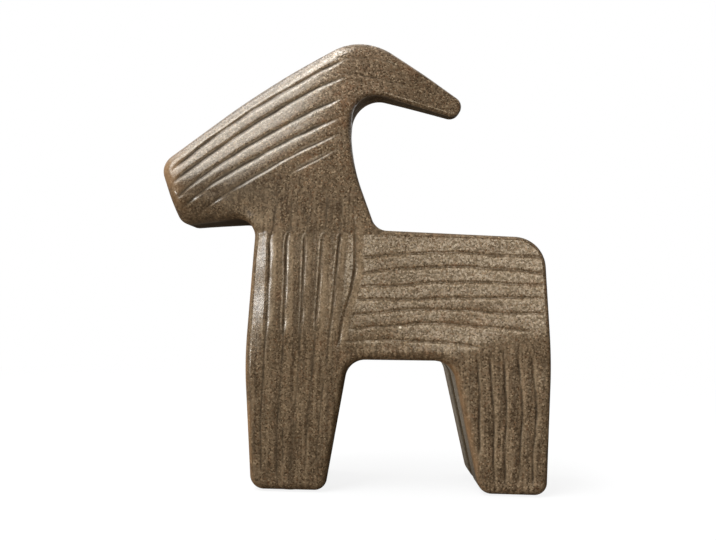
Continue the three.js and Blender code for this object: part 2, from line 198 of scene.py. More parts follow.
def halfWidth(x, z):
    # Straight tapers between the levels with soft bends, less what the chest's first band leans back, what
    # the jaw rolls under, what the muzzle loses toward its tip, and what the head's plane loses above its
    # fold beyond that. Past the crown it is divided by 1 + distance / narrowOver, which narrows the horn.
    shape = frontView

    def ramp(value, key):
        return smoothStep(value, *shape[key])

    heights, widths = np.array([shape[k] for k in ("foot", "knee", "back", "crown")]).T
    slopes = np.diff(widths) / np.diff(heights)
    width = widths[0] + slopes[0] * (z - heights[0])
    belly = shape["bellyDrop"] * ramp(x, "bellyFront") * ramp(x, "bellyRear")
    bends = (heights[1] - belly, heights[2])
    for height, change, softness in zip(bends, np.diff(slopes), shape["softness"]):
        width = width + change * softRamp(z - height, softness)
    bib = shape["bibFall"] * softRamp(shape["bibFrom"] - x, shape["bibSoftness"])
    bib = bib * ramp(z, "bibFoot") * ramp(z, "bibTop")
    (chinX, chinZ), (throatX, throatZ) = sideView["chin"][:2], sideView["throat"][:2]
    up = z - chinZ - (x - chinX) * (throatZ - chinZ) / (throatX - chinX)
    jaw = shape["jawFall"] * np.clip(1 - up / shape["jawHigh"], 0, 1) ** 2
    jaw = jaw * ramp(x, "jawAlong") * ramp(up, "jawFoot")
    muzzle = shape["muzzleFall"] * softRamp(shape["muzzleFrom"] - x, shape["muzzleSoftness"])
    muzzle = muzzle * ramp(z, "muzzleFoot")
    # Past the crown the fold runs level.
    beyond = softRamp(x - shape["hornFrom"], shape["hornSoftness"])
    (lowX, lowZ), (highX, highZ) = shape["fold"]
    length = math.hypot(highX - lowX, highZ - lowZ)
    above = ((z - lowZ) * (highX - lowX) - (x - beyond - lowX) * (highZ - lowZ)) / length
    head = shape["foldFall"] * softRamp(above, shape["foldSoftness"])
    past = softRamp(x - shape["narrowFrom"], shape["hornSoftness"]) * ramp(z, "hornFoot")
    width = width - bib - jaw - muzzle - softRamp(head - muzzle, shape["headSoftness"])
    return width / (1 + past / shape["narrowOver"])


def slotHalf(z):
    # Half of the gap between left and right at a height: the slip above the belly, the slot with its round
    # ceiling between the legs below.
    low = legSlot["ceiling"] - legSlot["half"]
    arch = np.sqrt(np.clip(legSlot["half"] ** 2 - np.clip(z - low, 0, None) ** 2, 0, None))
    return np.maximum(arch, joints["seam"] / 2)


def evenly(first, last, *across):
    # The places of a line at even steps along it.
    return list(zip(np.linspace(first, last, len(across)), across))


# Carved lines, field by field. "along" is the axis that they run along, 0 for x and 1 for z. "cut" is the
# depth of the cut and its reach on the far and the near side of the line, "roll" the same for the band that
# rolls down to it and the ink entry the same for how dark the line is, as glaze that pools in it and as
# painted shade on the flank that faces away from the light. "ridge" is how pale it is beside the line, as
# glaze that breaks pale and as a painted highlight on the flank that faces the light, and that ridge's place
# and width. "fade" is how long a line takes to run in and out, "wobble" scales the hand's tremor, and
# "faint" is the share that is left outside the heights in "full".
carving = {
    "head": {
        "along": 0, "cut": (0.55, 1.3, 0.9), "roll": (0.2, 3.0, 2.2), "ink": (1.0, 1.4, 0.8),
        "ridge": (0.0, -1, 1), "fade": (9.0, 14.0),
        "full": (131, 141, 300, 310), "faint": {"cut": 0.6, "roll": 0.4, "ink": 1.0, "ridge": 0.5},
        "lines": [
            evenly(-81, -3, 140.7, 154.7, 166.9, 177.2, 186.9, 195.4),
            evenly(-81.5, -1, 133.8, 147.3, 159.5, 170.5, 180, 187.4),
            evenly(-80, -6, 126.7, 139.6, 150, 159.3, 167.8, 175.5),
            evenly(-78, -7, 122.4, 133.6, 142.9, 151.3, 159.1, 165.7),
            evenly(-73, -9, 118.7, 127.5, 135.8, 143.7, 151.1, 157.3),
            evenly(-31, -10, 138.6, 142.4, 146.2, 150)],
        "weights": [1, 1, 1, 1, 0.75, 0.6],
        "starts": [-84, -84.5, -83, -81, -76, -33], "stops": [-3, -3, -4, -5, -6, -5],
    },
    "horn": {
        "along": 0, "cut": (0.24, 0.8, 0.8), "roll": (0.14, 2.5, 2.0), "ink": (0.5, 0.7, 0.7),
        "ridge": (0.2, -1.2, 0.8), "fade": (9.0, 9.0),
        "lines": [[(-4, 186.0), (8, 185.6), (22, 181.0)], [(-4, 194.2), (8, 195.0), (22, 190.0)]],
        "starts": [-14, -14], "stops": [28, 22],
    },
    "neck": {
        "along": 1, "cut": (0.2, 0.5, 0.9), "roll": (0.5, 3.6, 1.4), "ink": (0.75, 0.5, 1.1),
        "ridge": (0.6, 1.7, 1.5), "fade": (6.0, 6.0), "wobble": 0.5,
        "full": (66, 76, 111, 113.5), "faint": {"cut": 0.7, "roll": 0.2, "ink": 1.0, "ridge": 0.15},
        "lines": [
            [(8, -39.3), (31, -40), (55, -39), (78, -38), (101, -37.4), (109, -37.7), (116, -35.8),
             (128, -35.3)],
            [(8, -32.7), (32, -32.6), (56, -31.2), (79, -30.5), (101, -30.2), (109, -30.2), (116, -28.6),
             (130, -28.4)],
            [(8, -26.6), (32, -25.5), (56, -23.8), (81, -22.8), (105, -22.4), (110, -22.4), (116, -21.2),
             (132, -20.9)],
            [(8, -20.4), (33, -19.4), (57, -17.6), (82, -16.1), (105, -15), (110, -14.6), (116, -13.3),
             (134, -13.1)],
            [(11, -15.6), (35, -14.3), (59, -11.8), (83, -9.4), (105, -7.7), (110, -7.4), (116, -6.5),
             (134, -6.4)]],
        "weights": [1.1, 1.0, 0.8, 0.85, 0.85],
        "starts": [5, 5, 5, 5, 8], "stops": [128, 130, 132, 134, 134],
    },
    "shoulder": {
        "along": 1, "cut": (0.2, 0.5, 0.9), "roll": (0.48, 3.6, 1.4), "ink": (0.7, 0.5, 0.9),
        "ridge": (0.65, 1.7, 1.5), "fade": (5.0, 5.0), "wobble": 0.5,
        "lines": [
            [(65, -6.9), (75.6, -5.3), (82, -3.6), (88, -1.8), (96.8, -0.2), (107.4, -0.6), (118, -0.6)]],
        "starts": [62], "stops": [121],
    },
    "trunk": {
        "along": 0, "cut": (0.26, 0.5, 0.5), "roll": (0.06, 2.0, 1.6), "ink": (0.6, 0.55, 0.55),
        "ridge": (0.25, -1.1, 0.7), "fade": (3.0, 3.0), "wobble": 1.3,
        "lines": [
            evenly(3, 77, 103, 104.4, 105.7, 105.7, 104.9, 104.5),
            evenly(3, 78, 96.1, 98, 99.4, 99.8, 99, 97.8),
            evenly(3, 79, 90.1, 91, 92.5, 93.2, 92.9, 92.5),
            evenly(2, 77, 84.7, 84.8, 85.5, 86.2, 86.6, 86.9),
            evenly(-0.5, 79, 77.7, 80, 81.1, 80.8, 80, 80),
            evenly(0, 71, 71.9, 73.4, 74.9, 75, 73.8, 72.8),
            evenly(-3, 50, 66.6, 67.2, 67.4, 67.2, 66.7, 65.6)],
        "starts": [0, 0, 0, -1, -3.5, -3, -6], "stops": [82, 83, 83.5, 82, 83.5, 76, 55],
    },
    "rearLeg": {
        "along": 1, "cut": (0.5, 0.7, 0.7), "roll": (0.25, 2.8, 1.8), "ink": (0.85, 0.8, 0.8),
        "ridge": (0.6, 1.0, 0.45), "fade": (4.0, 4.0),
        "lines": [
            evenly(20, 58, 55.4, 55, 54.8, 54.5, 53.9, 53.4),
            evenly(7, 59, 61.9, 61.5, 61.3, 60.7, 59.8, 58.6),
            evenly(7, 64, 66.7, 66.4, 66.5, 66.3, 65.5, 64.2),
            evenly(7, 60, 72.6, 72.8, 73.3, 73.3, 72.5, 70.9),
            evenly(7, 60, 78.9, 78.5, 79.3, 79.4, 78.3, 76.9)],
        "starts": [17, 4, 4, 4, 4], "stops": [61, 62, 67, 63, 63],
    },
    "hairline": {
        "along": 1, "cut": (0.3, 0.3, 0.3), "roll": (0.0, 1.0, 1.0), "ink": (1.0, 0.5, 0.5),
        "ridge": (0.0, 1, 1), "fade": (3.0, 3.0),
        "lines": [evenly(9, 31, -29.9, -30.2, -30.6)], "starts": [10], "stops": [30],
    },
}
# How the lines are drawn: a guide's reach past its places, its steps and how many of them smooth it, the
# round bottom of a cut, the powers of the profiles, and the hand's tremor as waves of a size and length.
drawing = {
    "past": 12.0, "step": 0.25, "window": 35, "bottom": 0.1, "cutPower": 1.2, "rollPower": 1.6,
    "inkPower": 1.0, "edgePower": 1.2, "sway": ((0.12, 4.3), (0.07, 1.7)),
    "pressure": ((0.15, 5.3), (0.12, 2.1)), "seed": 5,
}
pinhole = {"place": (78.9, 39.1), "radius": 0.7, "depth": 0.7}
pressing = {"waves": 7, "lengths": (16, 45), "height": 0.045, "sideways": 20.0, "seed": 21}


def guideLine(places, along):
    # Straight runs through the places, carried on past both ends and smoothed over a few millimetres.
    places = np.array(places, float)
    steps = np.diff(places, axis=0)
    lead = places[0] - steps[0] * drawing["past"] / steps[0, 0]
    tail = places[-1] + steps[-1] * drawing["past"] / steps[-1, 0]
    path = np.concatenate([[lead], places, [tail]])
    fine = np.arange(path[0, 0], path[-1, 0], drawing["step"])
    window = np.hanning(drawing["window"])
    return np.interp(along, fine, np.convolve(np.interp(fine, *path.T), window / window.sum(), "same"))


def groove(power):
    # (1 - distance / reach) to a power, with a soft bottom and a different reach on each side of the line.
    def profile(distance, far, near):
        reach = np.sqrt(distance ** 2 + drawing["bottom"] ** 2) / np.where(distance > 0, far, near)
        return np.clip(1 - reach, 0, 1) ** power
    return profile


def crest(distance, place, width):
    # Bell curve round a place beside the line.
    return np.exp(-((distance - place) / width) ** 2)


def tremor(along, waves, phases):
    # A sine for each size and length, added up.
    return sum(size * np.sin(along / length + phase) for (size, length), phase in zip(waves, phases))


def mostOf(x, z, kind, profile):
    # The most that any line gives at each place: its strength times the profile of the distance from it.
    rng = np.random.default_rng(drawing["seed"])
    most = np.zeros_like(x)
    for field in carving.values():
        level, first, second = field[kind]
        along, across = (x, z) if field["along"] == 0 else (z, x)
        if "full" in field:
            lowFaint, lowFull, highFull, highFaint = field["full"]
            faint = field["faint"][kind]
            full = smoothStep(z, lowFaint, lowFull) * smoothStep(z, highFaint, highFull)
            level = level * (faint + (1 - faint) * full)
        fadeIn, fadeOut = field["fade"]
        weights = field.get("weights", np.ones(len(field["lines"])))
        for places, start, stop, weight in zip(field["lines"], field["starts"], field["stops"], weights):
            phases = rng.uniform(0, 2 * math.pi, 4)
            sway = tremor(along, drawing["sway"], phases[:2]) * field.get("wobble", 1.0)
            strength = 1 + tremor(along, drawing["pressure"], phases[2:])
            inside = np.clip(along, start, stop)
            slope = guideLine(places, inside + 0.5) - guideLine(places, inside - 0.5)
            distance = (across - guideLine(places, inside) - sway) / np.sqrt(1 + slope ** 2)
            ends = smoothStep(along, start, start + fadeIn) * smoothStep(along, stop, stop - fadeOut)
            most = np.maximum(most, weight * level * strength * ends * profile(distance, first, second))
    return most


def burstBubble(x, z):
    # A small bowl in the glaze of the rear leg: 1 - (distance / radius) squared.
    away = np.hypot(x - pinhole["place"][0], z - pinhole["place"][1]) / pinhole["radius"]
    return np.clip(1 - away ** 2, 0, 1)


def carvedDepth(x, z):
    # The narrow cuts and the burst bubble.
    cuts = mostOf(x, z, "cut", groove(drawing["cutPower"]))
    return np.maximum(cuts, pinhole["depth"] * burstBubble(x, z))


def rolledDepth(x, z):
    # The bands between the cuts roll down toward them.
    return mostOf(x, z, "roll", groove(drawing["rollPower"]))


def darkened(x, z):
    # How dark the cuts and the burst bubble are, from 0 to 1: glaze pooled in them, with painted shade on
    # the flank of each cut that faces away from the light.
    return np.maximum(mostOf(x, z, "ink", groove(drawing["inkPower"])), burstBubble(x, z))


def handMade(x, z, side):
    # Slow unevenness of pressed clay: a few long waves in seeded directions, not the same on both sides.
    rng = np.random.default_rng(pressing["seed"])
    y = side * pressing["sideways"]
    total = np.zeros_like(x)
    for _ in range(pressing["waves"]):
        direction = rng.normal(size=3)
        direction *= 2 * math.pi / rng.uniform(*pressing["lengths"]) / np.linalg.norm(direction)
        phase = rng.uniform(0, 2 * math.pi)
        total = total + np.sin(direction[0] * x + direction[1] * y + direction[2] * z + phase)
    return pressing["height"] * total


outline = Outline(sideView)
corner = {name: k for k, name in enumerate(sideView)}


def onArc(name, axis, value):
    # Where the outline passes a value of x or z on the arc of a corner.
    k = corner[name]
    return outline.crossing(axis, value, outline.arcFrom[k], outline.sideFrom[k])


jointLow, jointHigh = (onArc(name, 0, joints["hornX"]) for name in ("bend", "crown"))
print("outline", round(outline.length, 1), "mm, horn joint at", round(jointLow, 1), round(jointHigh, 1))


def sideSurface(x, z, side):
    # Half width less the carved lines, their rolled bands and the slow unevenness of the clay.
    return halfWidth(x, z) - carvedDepth(x, z) - rolledDepth(x, z) - handMade(x, z, side)


def edgeQuarter(along, side):
    # A quarter of an ellipse carried along the outline, level at the side and upright at the wall.
    # Cuts go in square to it and run out before the wall. Gives x, z and half width of each place.
    point, normal, reach, drop = outline.at(along)
    share = np.linspace(0, 1, detail["edgeSteps"])[None, :]
    turn = math.pi / 2 * share ** detail["edgeGather"]
    x, z = moved(point, normal, reach[:, None] * (1 - np.sin(turn)))
    flat, steep = np.cos(turn) / drop[:, None], np.sin(turn) / reach[:, None]
    size = np.hypot(flat, steep)
    cut = (carvedDepth(x, z) + rolledDepth(x, z)) * np.cos(turn) ** drawing["edgePower"]
    uneven = handMade(x, z, side) * np.cos(turn)
    width = halfWidth(x, z) - drop[:, None] * (1 - np.cos(turn)) - cut * flat / size - uneven
    inX, inZ = moved(0 * point, normal, cut * steep / size)
    return x + inX, z + inZ, width


def triangulate(loop, inner):
    # Triangles that fill a closed loop in the plane and use the inner points, as indices into both in turn.
    points = [Vector(p) for p in np.concatenate([loop, inner]).tolist()]
    count = len(loop)
    edges = [(i, (i + 1) % count) for i in range(count)]
    insideOnly, nearest = 1, 1e-7
    _, _, faces, origins, _, _ = delaunay_2d_cdt(points, edges, [], insideOnly, nearest)
    source = np.array([o[0] for o in origins])
    return source[np.array([tuple(f) for f in faces])]


def insideLoop(x, z, loop, margin):
    # Rows of points at heights z, kept where an odd number of the loop's sides lie to the right, there and
    # at places round them at the margin.
    after = np.roll(loop, -1, 0)
    rise = np.where(after[:, 1] == loop[:, 1], 1.0, after[:, 1] - loop[:, 1])
    lean = (after[:, 0] - loop[:, 0]) / rise
    kept = np.ones(x.shape, bool)
    angles = np.linspace(0, 2 * math.pi, detail["ringPlaces"], endpoint=False)
    ring = margin * np.stack([np.cos(angles), np.sin(angles)], 1)
    for shiftX, shiftZ in np.concatenate([np.zeros((1, 2)), ring]):
        level = z[:, None] + shiftZ
        crosses = (level < loop[:, 1]) != (level < after[:, 1])
        at = np.where(crosses, loop[:, 0] + (level - loop[:, 1]) * lean, -np.inf)
        at = np.sort(at, 1)[:, -detail["mostCrossings"]:]
        kept &= ((x[:, :, None] + shiftX) < at[:, None, :]).sum(2) % 2 == 1
    return np.stack([x[kept], np.broadcast_to(z[:, None], x.shape)[kept]], 1)


def hexGrid(loop, spacing):
    # Staggered rows of points over the loop's box, kept where they lie inside it.
    low, high = loop.min(0), loop.max(0)
    rows = np.arange(low[1] + spacing / 2, high[1], spacing * math.sqrt(0.75))
    columns = np.arange(low[0] - spacing, high[0] + spacing, spacing)
    x = columns[None, :] + spacing / 2 * (np.arange(len(rows)) % 2)[:, None]
    return insideLoop(x, rows, loop, detail["faceMargin"] * spacing)


def faceGrid(loop):
    return hexGrid(loop, detail["face"])


def slotGrid(loop):
    # Coarse points over the inner face, with closer rows round the slot's ceiling.
    coarse = hexGrid(loop, detail["inside"])
    low, clear = legSlot["ceiling"] - legSlot["half"], detail["archClear"]
    coarse = coarse[(coarse[:, 1] < low - clear) | (coarse[:, 1] > legSlot["ceiling"] + clear)]
    turn = np.radians(detail["archAngles"])
    columns = np.arange(loop[:, 0].min(), loop[:, 0].max(), detail["archStep"])
    x = np.broadcast_to(columns, (len(turn), len(columns)))
    arch = insideLoop(x, low + legSlot["half"] * np.sin(turn), loop, detail["archMargin"])
    return np.concatenate([coarse, arch])


def stripQuads(rows, columns, closed=False):
    # Quads of a grid of points. Closed joins the last column to the first one.
    index = np.arange(rows * columns).reshape(rows, columns)
    if closed:
        index = np.concatenate([index, index[:, :1]], 1)
    corners = [index[:-1, :-1], index[:-1, 1:], index[1:, 1:], index[1:, :-1]]
    return np.stack([c.ravel() for c in corners], 1)


def fillBorder(points, border, forward):
    # Fills a loop across the figure, laid flat by height and distance out. Forward is the way it faces.
    flat = points[border][:, [2, 1]]
    after = np.roll(flat, -1, 0)
    area = (flat[:, 0] * after[:, 1] - flat[:, 1] * after[:, 0]).sum()
    faces = border[triangulate(flat, np.zeros((0, 2)))]
    return faces if (area > 0) == forward else faces[:, ::-1]


def closedPiece(rim, turn, front, back):
    # A rim strip along part of the outline, closed by a front and a back surface over the side view and by
    # a cut across the figure where it ends. rim is rows by columns by (x, y, z), seen from the goat's left.
    # front and back give the points inside a loop, their y, and how far they are turned from the side.
    rows, columns = rim.shape[:2]
    index = np.arange(rows * columns).reshape(rows, columns)
    points, turned = [rim.reshape(-1, 3)], [turn.ravel()]
    triangles, ends, count = [], [], rows * columns
    for column, (grid, depth, level) in ((0, front), (columns - 1, back)):
        chain = rim[:, column, [0, 2]]
        share = np.linspace(0, 1, detail["jointSteps"] + 2)[1:-1, None]
        cut = blend(chain[-1], chain[0], share)
        loop = np.concatenate([chain, cut])
        inner = grid(loop)
        plane = np.concatenate([cut, inner])
        numbers = np.concatenate([index[:, column], count + np.arange(len(plane))])
        faces = numbers[triangulate(loop, inner)]
        triangles.append(faces if column == 0 else faces[:, ::-1])
        ends.append(numbers[rows:rows + len(cut)])
        points.append(np.stack([plane[:, 0], depth(plane[:, 0], plane[:, 1]), plane[:, 1]], 1))
        turned.append(np.full(len(plane), level))
        count += len(plane)
    points = np.concatenate(points)
    border = np.concatenate([ends[0], index[0], ends[1][::-1], index[-1, ::-1]])
    triangles.append(fillBorder(points, border, False))
    return points, stripQuads(rows, columns), np.concatenate(triangles), np.concatenate(turned)


def meshObject(name, points, quads, triangles, turned=None):
    # Puts whole arrays into a mesh in metres. turned says how far each point lies from the side, over the
    # rounded edge at 1 to the inside at 2, carved how dark it is in its cuts, as pooled glaze and as painted
    # shade on the flank away from the light, ridge how pale beside them, as glaze that breaks pale and as a
    # painted highlight on the flank toward the light, and facing how far it faces the rump, or the head
    # where it is below 0.
    mesh = bpy.data.meshes.new(name)
    loops = np.concatenate([quads.ravel(), triangles.ravel()]).astype(np.int32)
    sizes = np.concatenate([np.full(len(quads), 4), np.full(len(triangles), 3)])
    mesh.vertices.add(len(points))
    mesh.vertices.foreach_set("co", (points * millimetre).astype(np.float32).ravel())
    mesh.loops.add(len(loops))
    mesh.loops.foreach_set("vertex_index", loops)
    mesh.polygons.add(len(sizes))
    mesh.polygons.foreach_set("loop_start", np.concatenate([[0], np.cumsum(sizes)[:-1]]).astype(np.int32))
    mesh.polygons.foreach_set("use_smooth", np.ones(len(sizes), bool))
    mesh.update(calc_edges=True)
    mesh.set_sharp_from_angle(angle=math.radians(detail["sharpAngle"]))
    if turned is not None:
        flat = np.clip(1 - turned, 0, 1)
        normals = np.empty(3 * len(points), np.float32)
        mesh.vertices.foreach_get("normal", normals)
        carved = darkened(points[:, 0], points[:, 2]) * flat
        ridge = mostOf(points[:, 0], points[:, 2], "ridge", crest) * flat
        kept = {"turned": turned, "carved": carved, "ridge": ridge, "facing": normals[::3]}
        for key, values in kept.items():
            mesh.attributes.new(key, "FLOAT", "POINT").data.foreach_set("value", values.astype(np.float32))
    piece = addObject(name, mesh)
    print(name, len(points), "points", 2 * len(quads) + len(triangles), "triangles")
    return piece


def half(name, side):
    # One pressed half: the rounded outer edge, the wall, and the inner edge beside the slip or leg slot.
    # It is laid out as the left half, and the right one is turned over.
    steps = int((outline.length - (jointHigh - jointLow)) / detail["outline"])
    along = np.linspace(jointHigh, jointLow + outline.length, steps)
    point, normal, _, _ = outline.at(along)
    x, z, width = edgeQuarter(along, side)
    gap = smoothStep(slotHalf(point[:, 1:]), legSlot["edgeFrom"], legSlot["half"])
    soft = joints["edge"] + (legSlot["edge"] - joints["edge"]) * gap
    roll = np.linspace(0, math.pi / 2, detail["innerSteps"])[None, :]
    innerX, innerZ = moved(point, normal, soft * (1 - np.cos(roll)))
    innerWidth = slotHalf(innerZ) + soft * (1 - np.sin(roll))
    share = np.linspace(0, 1, detail["wallSteps"] + 2)[None, 1:-1]
    wallWidth = blend(width[:, -1:], innerWidth[:, :1], share)
    wallX, wallZ = moved(point, normal, 0 * share)
    y = -np.concatenate([width, wallWidth, innerWidth], 1)
    rim = np.stack([np.concatenate([x, wallX, innerX], 1), y, np.concatenate([z, wallZ, innerZ], 1)], 2)
    inside = turnedAt["inside"]
    turn = np.concatenate([np.linspace(0, 1, x.shape[1]), 1 + share[0], np.full(roll.size, inside)])
    points, quads, triangles, turned = closedPiece(
        rim, np.broadcast_to(turn, rim.shape[:2]),
        (faceGrid, lambda px, pz: -sideSurface(px, pz, side), 0.0),
        (slotGrid, lambda px, pz: -slotHalf(pz), inside))
    if side > 0:
        points, quads, triangles = points * [1, -1, 1], quads[:, ::-1], triangles[:, ::-1]
    return meshObject(name, points, quads, triangles, turned)


def acrossRows(along):
    # The left rounded edge, the wall and the right rounded edge, as one strip along the outline.
    point, normal, _, _ = outline.at(along)
    left, right = edgeQuarter(along, -1), edgeQuarter(along, 1)
    share = np.linspace(0, 1, detail["wallSteps"] + 2)[None, 1:-1]
    wall = blend(-left[2][:, -1:], right[2][:, -1:], share)
    wallX, wallZ = moved(point, normal, 0 * share)
    x = np.concatenate([left[0], wallX, right[0][:, ::-1]], 1)
    z = np.concatenate([left[1], wallZ, right[1][:, ::-1]], 1)
    edge = np.linspace(0, 1, detail["edgeSteps"])
    bulge = (turnedAt["hornWall"] - 1) * np.sin(math.pi * share[0])
    turn = np.concatenate([edge, 1 + bulge, edge[::-1]])
    strip = np.stack([x, np.concatenate([-left[2], wall, right[2][:, ::-1]], 1), z], 2)
    return strip, np.broadcast_to(turn, x.shape)


def backHorn(name):
    # The solid horn: one strip round its edge from the joint below, over the tip, to the joint above.
    low, high = jointLow + joints["hornSlip"], jointHigh - joints["hornSlip"]
    rim, turn = acrossRows(np.linspace(low, high, int((high - low) / detail["outline"])))
    return meshObject(name, *closedPiece(
        rim, turn,
        (faceGrid, lambda px, pz: -sideSurface(px, pz, -1), 0.0),
        (faceGrid, lambda px, pz: sideSurface(px, pz, 1), 0.0)))


def hornSlip(name):
    # The layer between horn and crown: the loop round the figure at the joint, carried across the layer.
    loops, turns = [], []
    for share in np.linspace(0, 1, detail["slipSteps"]):
        ends = np.array([jointLow, jointHigh]) + joints["hornSlip"] * share * np.array([1, -1])
        (low, high), (turn, _) = acrossRows(ends)
        part = np.linspace(0, 1, detail["jointSteps"] + 2)[1:-1, None]
        sides = []
        for column, side in ((0, -1), (-1, 1)):
            plane = blend(low[column, [0, 2]], high[column, [0, 2]], part)
            y = side * sideSurface(plane[:, 0], plane[:, 1], side)
            sides.append(np.stack([plane[:, 0], y, plane[:, 1]], 1))
        loops.append(np.concatenate([sides[0], high, sides[1][::-1], low[::-1]]))
        turns.append(np.concatenate([0 * part[:, 0], turn, 0 * part[:, 0], turn[::-1]]))
    rows, columns = len(loops), len(loops[0])
    points = np.concatenate(loops)
    index = np.arange(rows * columns).reshape(rows, columns)
    caps = [fillBorder(points, index[0], True), fillBorder(points, index[-1], False)]
    quads = stripQuads(rows, columns, True)[:, ::-1]
    return meshObject(name, points, quads, np.concatenate(caps), np.concatenate(turns))


def seamSlip(name):
    # The layer between the halves: a flat bar carried round the upper body's outline, along the slot's
    # ceiling and up the horn's joint.
    chest, haunch = (onArc(k, 1, legSlot["ceiling"]) for k in ("chest", "haunch"))

    def stretch(low, high):
        return outline.at(np.linspace(low, high, int((high - low) / detail["seam"])))[0]

    front = stretch(jointHigh, chest + outline.length)
    rear = stretch(haunch, jointLow)
    share = np.linspace(0, 1, detail["seamSteps"])[1:-1, None]
    path = np.concatenate([front, blend(front[-1], rear[0], share), rear, blend(rear[-1], front[0], share)])
    inward = leftOf(unit(np.roll(path, -1, 0) - np.roll(path, 1, 0)))
    depth, rounded = joints["seamDepth"], joints["seamRound"]
    outer = [(rounded, -1), (0, -0.5), (0, 0), (0, 0.5), (rounded, 1)]
    section = np.array([*outer, (depth, 1), (depth, 0), (depth, -1)])
    x, z = moved(path, inward, section[None, :, 0])
    y = np.broadcast_to(joints["seam"] / 2 * section[None, :, 1], x.shape)
    rows, columns = x.shape
    points = np.stack([x, y, z], 2).reshape(-1, 3)
    quads = stripQuads(rows + 1, columns, True) % len(points)
    return meshObject(name, points, quads, np.zeros((0, 3), int), np.full(len(points), turnedAt["slip"]))


feltDot = {
    "radius": 6.0, "thick": 0.5, "soft": 0.22, "front": -27.35, "rear": 71.35, "out": 15.0, "spokes": 96,
    "rings": 12, "bendSteps": 13, "middle": 0.6, "middleUp": 0.02, "fuzzFrom": 1.5, "fuzzOut": 0.12,
    "fuzzUnder": 0.05, "seed": 40,
}


def padDot(name, x, y, seed):
    # A pressed felt disc: a rounded profile turned about its axis, with uneven fibres at the edge.
    rng = np.random.default_rng(seed)
    radius, thick, soft, rings = (feltDot[k] for k in ("radius", "thick", "soft", "rings"))
    bend = np.linspace(0, math.pi, feltDot["bendSteps"])[1:-1]
    flat = np.linspace(feltDot["middle"], radius - soft, rings)
    reach = np.concatenate([flat, radius - soft + soft * np.sin(bend), flat[::-1]])
    level = np.concatenate([np.zeros(rings), thick / 2 * (1 - np.cos(bend)), np.full(rings, thick)])
    angle = np.linspace(0, 2 * math.pi, feltDot["spokes"], endpoint=False)
    fuzz = rng.normal(size=(len(reach), len(angle)))
    fuzz = np.abs(fuzz + np.roll(fuzz, 1, 1) + np.roll(fuzz, 1, 0)) / 3
    edge = smoothStep(reach, radius - feltDot["fuzzFrom"], radius)[:, None]
    across = reach[:, None] - feltDot["fuzzOut"] * fuzz * edge
    under = np.where((level > thick / 2)[:, None], 0.0, feltDot["fuzzUnder"] * fuzz)
    grid = np.stack([x + across * np.cos(angle), y + across * np.sin(angle), level[:, None] + under], 2)
    rows, columns = grid.shape[:2]
    points = np.concatenate([grid.reshape(-1, 3), [[x, y, feltDot["middleUp"]], [x, y, thick]]])
    index = np.arange(rows * columns).reshape(rows, columns)
    low = np.stack([np.roll(index[0], -1), index[0], np.full(columns, rows * columns)], 1)
    high = np.stack([index[-1], np.roll(index[-1], -1), np.full(columns, rows * columns + 1)], 1)
    return meshObject(name, points, stripQuads(rows, columns, True), np.concatenate([low, high]))


leftHalf, rightHalf = half("left_half", -1), half("right_half", 1)
horn = backHorn("back_horn")
hornJointSlip, seam = hornSlip("horn_slip"), seamSlip("seam_slip")
dots = {}
for number, (end, hand) in enumerate((e, h) for e in ("front", "rear") for h in ("left", "right")):
    out = feltDot["out"] * (-1 if hand == "left" else 1)
    dots[f"{end}_{hand}_pad"] = padDot(f"{end}_{hand}_felt", feltDot[end], out, feltDot["seed"] + number)
print("pieces made")


class Wire:
    # A socket that can be used in sums. Each sum on values adds its Math node.
    def __init__(self, finish, socket):
        self.finish, self.socket = finish, socket

    def math(self, operation, *values):
        return self.finish.node("ShaderNodeMath", {"operation": operation}, dict(enumerate(values)))

    def __add__(self, other):
        return self.math("ADD", self, other)

    def __sub__(self, other):
        return self.math("SUBTRACT", self, other)

    def __rsub__(self, other):
        return self.math("SUBTRACT", other, self)

    def __mul__(self, other):
        return self.math("MULTIPLY", self, other)

    __radd__, __rmul__ = __add__, __mul__

    def within(self, low, high):
        # Zero up to low, one from high, smooth between.
        sockets = {0: self, 1: low, 2: high}
        settings = {"interpolation_type": "SMOOTHSTEP"}
        return self.finish.node("ShaderNodeMapRange", settings, sockets)


